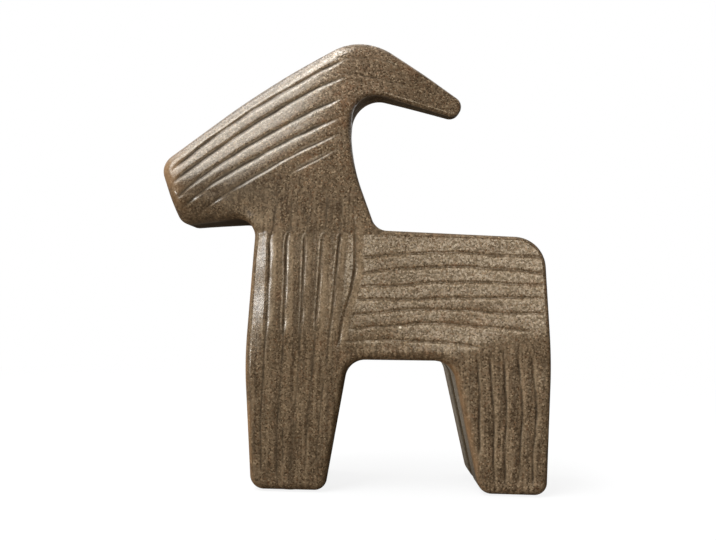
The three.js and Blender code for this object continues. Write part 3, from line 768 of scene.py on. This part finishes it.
class Finish:
    # A material or the world, and the nodes behind it.
    def __init__(self, owner):
        self.owner, owner.use_nodes = owner, True
        self.tree = owner.node_tree
        self.tree.nodes.clear()

    def node(self, kind, settings, sockets, output=0):
        node = self.tree.nodes.new(kind)
        for key, value in settings.items():
            setattr(node, key, value)
        for key, value in sockets.items():
            if isinstance(value, Wire):
                self.tree.links.new(value.socket, node.inputs[key])
            else:
                node.inputs[key].default_value = value
        return Wire(self, node.outputs[output]) if node.outputs else None

    def place(self):
        return self.node("ShaderNodeTexCoord", {}, {}, "Object")

    def noise(self, size, fine=2.0, rough=0.5, seed=0.0):
        # Cloudy noise whose lumps are about the given size in millimetres.
        sockets = {"Vector": self.place(), "W": seed, "Scale": 1 / (size * millimetre), "Detail": fine,
                   "Roughness": rough}
        return self.node("ShaderNodeTexNoise", {"noise_dimensions": "4D"}, sockets, "Fac")

    def streaks(self, stretch, seed):
        # Cloudy noise whose lumps have the given length along each axis in millimetres.
        scale = tuple(1 / (v * millimetre) for v in stretch)
        place = self.node("ShaderNodeVectorMath", {"operation": "MULTIPLY"}, {0: self.place(), 1: scale})
        sockets = {"Vector": place, "W": seed, "Scale": 1.0, "Detail": 1.0}
        return self.node("ShaderNodeTexNoise", {"noise_dimensions": "4D"}, sockets, "Fac")

    def grains(self, size):
        # Three random values for each small cell of about the given size in millimetres.
        sockets = {"Vector": self.place(), "Scale": 1 / (size * millimetre)}
        cells = self.node("ShaderNodeTexVoronoi", {}, sockets, "Color")
        return [self.node("ShaderNodeSeparateColor", {}, {0: cells}, part) for part in range(3)]

    def along(self, axis):
        return self.node("ShaderNodeSeparateXYZ", {}, {0: self.place()}, axis)

    def mix(self, share, first, second, blend="MIX"):
        settings = {"data_type": "RGBA", "blend_type": blend}
        return self.node("ShaderNodeMix", settings, {0: share, 6: first, 7: second}, 2)

    def attribute(self, name):
        return self.node("ShaderNodeAttribute", {"attribute_name": name}, {}, "Fac")

    def bump(self, height, distance, strength):
        sockets = {"Strength": strength, "Distance": distance * millimetre, "Height": height}
        return self.node("ShaderNodeBump", {}, sockets, "Normal")

    def straightLook(self):
        # One for rays from the camera or through glass, a part for mirrored ones.
        seen, through, mirrored = (self.node("ShaderNodeLightPath", {}, {}, f"Is {kind} Ray")
                                   for kind in ("Camera", "Transmission", "Glossy"))
        return seen.math("MAXIMUM", seen.math("MAXIMUM", seen, through), stage["mirrored"] * mirrored)

    def close(self, sockets):
        shader = self.node("ShaderNodeBsdfPrincipled", {}, sockets)
        self.node("ShaderNodeOutputMaterial", {}, {"Surface": shader})
        return self.owner


def srgb(red, green, blue):
    # Colour as it looks on screen, 0 to 255, turned into linear light.
    part = np.array([red, green, blue]) / 255
    linear = np.where(part <= 0.04045, part / 12.92, ((part + 0.055) / 1.055) ** 2.4)
    return (*linear.tolist(), 1.0)


# The pit colour also paints the shade under the jaw and the horn. The colour gain that multiplies the glaze
# is painted light: lighter toward the rump and over the crown.
glazeLook = {
    "brown": srgb(110, 92, 71), "dark": srgb(55, 42, 29), "pale": srgb(150, 130, 104),
    "rust": srgb(132, 84, 50), "olive": srgb(74, 65, 49), "tan": srgb(152, 117, 82),
    "pit_and_shade": srgb(36, 26, 17), "clay": srgb(150, 118, 92), "painted_light": (2.3, 2.45, 2.8, 1.0),
    "spot": srgb(228, 218, 196), "spotPlace": (19.5, -29.7, 73.0), "spotSize": 1.1, "spotCore": 0.66,
    "grain": 0.66, "ripple": 0.792, "cloud": 14.0, "drag": (1.5, 1.5, 32.0), "wallLine": (60.0, 1.6, 60.0),
    "hornSlant": 0.26, "hornLine": (184, 182), "roughness": 0.27, "coatRoughness": 0.2, "refraction": 1.47,
    "mirrorTint": (1.0, 0.84, 0.6, 1.0), "bumpHigh": 0.12, "bump": 0.6,
}
# Parts of the figure that the glaze treats in their own way. Each has ranges along an axis, in millimetres,
# from where it begins to where it is whole.
glazeParts = {
    "neck": [("x", 2, -3), ("z", 140, 128)], "shins": [("z", 70, 64)], "legs": [("z", 75, 55)],
    "legWalls": [("z", 70, 60)], "rearLeg": [("x", 20, 60)], "rearward": [("x", 0, 70)],
    "jaw": [("x", -20, -50), ("z", 115, 120), ("z", 150, 135)], "cheek": [("z", 123, 134)],
    "crown": [("x", -35, -12), ("z", 165, 180)], "hornRoot": [("x", 25, 5)], "hornLength": [("x", 10, 30)],
    "muzzle": [("x", -72, -86), ("z", 105, 120)], "aboveChin": [("z", 112, 120)],
    "belowBrow": [("z", 165, 145)], "aboveBrow": [("z", 160, 185)], "body": [("z", 150, 140)],
    "underJaw": [("x", -36, -44), ("z", 128, 122)], "underHorn": [("x", -12, -8), ("z", 130, 150)],
    "throat": [("x", -64, -50), ("x", -32, -40), ("z", 136, 126), ("z", 111, 115)],
    "chest": [("x", -30, -40), ("z", 62, 80), ("z", 118, 112)],
    "front": [("x", -4, -40), ("z", 62, 80)], "soles": [("z", 0.9, 0.5)],
}


def glazeFinish(name, look):
    # Satin brown glaze full of fine dark and pale grains. It pools dark in the cuts, with painted shade on
    # the flank of each cut that faces away from the light, and breaks pale on the ridges beside them, with a
    # painted highlight on the flank that faces the light. Over the edges that face the head it breaks tan,
    # laid only on that lit side as painted light, and the edges that face the rump carry painted shade. The
    # walls carry an olive painted reflection. It shows the drag of the tool on the neck and the legs, is
    # dull under the jaw and the horn and carries painted shade there, as it does over the jaw, the neck and
    # toward the horn's tip, carries painted light toward the rump and a painted highlight over the crown,
    # and is wiped off the soles.
    finish = Finish(bpy.data.materials.new(name))
    tone, pale, tint = finish.grains(look["grain"])
    ripple = finish.noise(look["ripple"], 1.0, 0.5, 1.0)
    cloud = finish.noise(look["cloud"], 3.0, 0.55, 7.0)
    drag, lines = finish.streaks(look["drag"], 3.0), finish.streaks(look["wallLine"], 5.0)
    turned, carved, ridge, facing = (finish.attribute(k) for k in ("turned", "carved", "ridge", "facing"))
    across, height = finish.along("X"), finish.along("Z")

    def at(part):
        # One inside all of a part's ranges, none outside any of them, smooth between.
        axes = {"x": across, "z": height}
        return math.prod(axes[axis].within(begin * millimetre, whole * millimetre)
                         for axis, begin, whole in glazeParts[part])

    wall = turned.within(1.0, 1.3)
    edge = turned.within(0.25, 0.85) * (1 - wall)
    neck, legs, jaw, crown, bare = (at(part) for part in ("neck", "legs", "jaw", "crown", "soles"))
    upright = neck.math("MAXIMUM", neck, at("shins")) * (1 - wall)
    coarse = legs * (0.2 + 0.15 * at("rearLeg")) + 0.9 * jaw + 0.35 * crown + 0.4 * wall * (1 - legs)
    # Tan on the edges that face the head, where the glaze breaks, kept to that lit side as painted light,
    # and the muzzle's rust.
    headward = edge * facing.within(-0.05, -0.45) * at("belowBrow") * (0.35 + cloud.within(0.35, 0.65))
    headward = headward * (1 - 0.7 * at("aboveChin") * turned.within(0.95, 0.6))
    headward = headward.math("MAXIMUM", headward, at("muzzle") * cloud.within(0.3, 0.6))
    # Where painted shade lies under the jaw and under the horn.
    underJaw = wall * at("underJaw")
    below = (height + look["hornSlant"] * across).within(*(v * millimetre for v in look["hornLine"]))
    underHorn = turned.within(0.8, 1.0) * below * at("underHorn")
    ends = {0: finish.place(), 1: tuple(v * millimetre for v in look["spotPlace"])}
    away = finish.node("ShaderNodeVectorMath", {"operation": "DISTANCE"}, ends, "Value")

    # Each layer's colour, and how much of it covers what lies below.
    layers = [
        ("pale", pale.within(0.8, 1.0) * 0.75),
        ("rust", tint.within(0.75, 0.95) * 0.2 + cloud.within(0.55, 0.8) * 0.25),
        ("dark", upright * drag.within(0.5, 0.64) * 0.6),
        ("pale", upright * drag.within(0.48, 0.32) * 0.32),
        # Olive on the walls and more on the legs' walls: a painted grey-green reflection.
        ("olive", wall * (0.45 + 0.35 * at("legWalls"))),
        ("pit_and_shade", wall * lines.within(0.45, 0.62) * 0.6),
        ("pit_and_shade", coarse * tone.within(0.55, 0.05) * 0.6),
        ("pale", coarse * pale.within(0.6, 0.95) * 0.7),
        # Painted shade: darker over the jaw and cheek, over the neck and toward the horn's tip.
        ("dark", (0.2 + 0.35 * at("cheek")) * jaw + 0.15 * neck + 0.2 * at("hornLength") * crown),
        # Painted light: lighter and bluer toward the rump, and a painted highlight over the crown and the
        # horn's root.
        ("painted_light", at("rearward") * (0.12 - 0.02 * legs) + 0.25 * crown * at("hornRoot")),
        # Glaze broken tan, painted only on the lit edges as painted light.
        ("tan", headward * 0.55),
        # Painted shade on the edges that face the rump.
        ("dark", edge * facing.within(-0.1, 0.2) * (0.6 - 0.6 * at("aboveBrow"))),
        # Painted shade under the jaw and under the horn, with streaks under the horn.
        ("pit_and_shade", underJaw * 0.85 + underHorn * (0.1 + 0.6 * lines.within(0.45, 0.6))),
        # Pale beside the cuts: glaze that breaks pale, with a painted highlight on the flank that faces the
        # light.
        ("pale", ridge * (0.4 + 0.6 * tone)),
        # Dark in the cuts and the burst bubble: pooled glaze, with painted shade on the flank of each cut
        # that faces away from the light.
        ("pit_and_shade", carved.within(0.05, 0.9) * 0.9),
        ("spot", away.within(look["spotSize"] * millimetre, look["spotCore"] * millimetre)),
        ("clay", bare),
    ]
    colour = finish.mix(tone, look["dark"], look["brown"])
    for shade, share in layers:
        colour = finish.mix(share, colour, look[shade], "MULTIPLY" if shade == "painted_light" else "MIX")

    # The edges are rubbed, and glaze lies smoothest over the front.
    dull = underJaw + underHorn + 0.9 * at("throat") + 0.25 * at("chest")
    rubbed = turned.within(0.05, 0.4) * at("body") * (1 - wall)
    roughness = look["roughness"] + 0.16 * (ripple - 0.5) + 0.2 * (pale - 0.5) + 0.45 * carved
    roughness = roughness + 0.3 * bare + 0.15 * wall + 0.35 * rubbed + 0.5 * dull
    smooth = at("front")
    coat = 0.1 + 0.35 * smooth + 1.4 * tone * tone * (1 - 0.6 * smooth)
    coat = coat * (1 - carved) * (1 - rubbed) * (1 - dull)
    uneven = ripple + 0.4 * tone + 0.6 * upright * drag + 0.5 * wall * lines
    bump = finish.bump(uneven, look["bumpHigh"], look["bump"])
    return finish.close({"Base Color": colour, "Roughness": roughness, "Normal": bump, "Coat Weight": coat,
                         "Coat Roughness": look["coatRoughness"], "IOR": look["refraction"],
                         "Specular Tint": look["mirrorTint"]})


feltLook = {"fibre": srgb(62, 58, 54), "shade": srgb(34, 31, 29), "strand": 0.25, "mat": 1.5,
            "roughness": 0.95, "sheen": 0.3, "bumpHigh": 0.15, "bump": 0.8}


def feltFinish(name, look):
    # Matted fibres: fine cloudy noise with a coarser one, and a soft sheen.
    finish = Finish(bpy.data.materials.new(name))
    strand = finish.noise(look["strand"], 4.0, 0.7, 2.0)
    matted = finish.noise(look["mat"], 2.0, 0.5, 3.0)
    colour = finish.mix((strand * 0.7 + matted * 0.3).within(0.3, 0.7), look["shade"], look["fibre"])
    bump = finish.bump(strand, look["bumpHigh"], look["bump"])
    return finish.close({"Base Color": colour, "Roughness": look["roughness"], "Normal": bump,
                         "Sheen Weight": look["sheen"]})


bodyGlaze = glazeFinish("speckled_glaze", glazeLook)
hornGlaze = glazeFinish("horn_glaze", glazeLook)
slipGlaze = glazeFinish("glazed_slip", glazeLook)
felt = feltFinish("pressed_felt", feltLook)


def settle(piece, node, material):
    piece.data.materials.append(material)
    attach(piece, "root")
    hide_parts(node)


settle(leftHalf, "left_shell", bodyGlaze)
settle(rightHalf, "right_shell", bodyGlaze)
settle(horn, "horn", hornGlaze)
settle(seam, "luting_seam", slipGlaze)
settle(hornJointSlip, "horn_luting", slipGlaze)
for node, piece in dots.items():
    settle(piece, node, felt)
print("finishes given")

# Lamps stand round the figure. Each has its direction in degrees right of the camera and up, its width and
# height in degrees as the figure sees it, how bright its face is, and its tint.
lamps = {
    "high_softbox": (-38, 59, 24, 46, 7.8, (0.97, 0.99, 1.0)),
    "left_softbox": (-82, 64, 44, 30, 4.2, (0.97, 0.99, 1.0)),
    "side_strip": (-43, 3.5, 22, 9, 24.0, (0.98, 0.99, 1.0)),
    "front_panel": (13, 1.5, 22, 23, 4.8, (1.0, 0.92, 0.78)),
}
# The stage, with lengths in metres.
stage = {
    "lampDistance": 1.6, "aim": (-0.01, 0.0, 0.1), "room": 0.07, "sweep": 1.0, "sweepFrom": (-0.2, 0.5),
    "mirrored": 0.05, "floor": srgb(122, 111, 96), "paper": (0.95, 0.95, 0.95, 1), "floorReach": 4,
    "shadow": 0.14, "shadowFrom": (0.6, 0.1),
}


def addLamp(name, turn, lift, wide, high, bright, tint):
    # A flat lamp face that fills the given angles. Its power is face area times brightness times pi.
    turn, lift, wide, high = (math.radians(v) for v in (turn, lift, wide, high))
    toward = Vector((math.sin(turn) * math.cos(lift), -math.cos(turn) * math.cos(lift), math.sin(lift)))
    distance = stage["lampDistance"]
    data = bpy.data.lights.new(name, "AREA")
    data.shape, data.color = "RECTANGLE", tint
    data.size, data.size_y = (2 * distance * math.tan(v / 2) for v in (wide, high))
    data.energy = bright * data.size * data.size_y * math.pi
    lamp = addObject(name, data)
    lamp.location = Vector(stage["aim"]) + toward * distance
    lamp.rotation_euler = toward.to_track_quat("Z", "Y").to_euler()
    lamp.visible_camera = False


for name, settings in lamps.items():
    addLamp(name, *settings)


def makeRoom():
    # A white sweep behind the figure and a dim room in front of it. Looked at straight, it is plain white.
    room = Finish(bpy.data.worlds.new("room"))
    bpy.context.scene.world = room.owner
    way = room.node("ShaderNodeTexCoord", {}, {}, "Generated")
    behind = room.node("ShaderNodeSeparateXYZ", {}, {0: way}, "Y").within(*stage["sweepFrom"])
    level = stage["room"] + behind * (stage["sweep"] - stage["room"])
    white = room.straightLook()
    strength = level * (1 - white) + white
    light = room.node("ShaderNodeBackground", {}, {"Color": (1, 1, 1, 1), "Strength": strength})
    room.node("ShaderNodeOutputWorld", {}, {"Surface": light})


def makeFloor():
    # A wide flat sheet under the feet. Looked at straight it is white, less part of the shadow on it.
    reach = stage["floorReach"]
    corners = [(-reach, -reach, 0), (reach, -reach, 0), (reach, reach, 0), (-reach, reach, 0)]
    mesh = bpy.data.meshes.new("floor")
    mesh.from_pydata(corners, [], [(0, 1, 2, 3)])
    floor = addObject("floor", mesh)
    paper = Finish(bpy.data.materials.new("white_paper"))
    matt = paper.node("ShaderNodeBsdfDiffuse", {}, {"Color": stage["floor"]})
    white = paper.node("ShaderNodeBsdfDiffuse", {}, {"Color": stage["paper"]})
    glow = paper.node("ShaderNodeEmission", {}, {"Color": (1, 1, 1, 1), "Strength": 1.0})
    away = paper.node("ShaderNodeVectorMath", {"operation": "LENGTH"}, {0: paper.place()}, "Value")
    shadow = stage["shadow"] * away.within(*stage["shadowFrom"])
    bright = paper.node("ShaderNodeMixShader", {}, {0: 1 - shadow, 1: white, 2: glow})
    both = paper.node("ShaderNodeMixShader", {}, {0: paper.straightLook(), 1: matt, 2: bright})
    paper.node("ShaderNodeOutputMaterial", {}, {"Surface": both})
    mesh.materials.append(paper.owner)


makeRoom()
makeFloor()
bpy.context.scene.view_settings.view_transform = "Standard"
print("stage set")
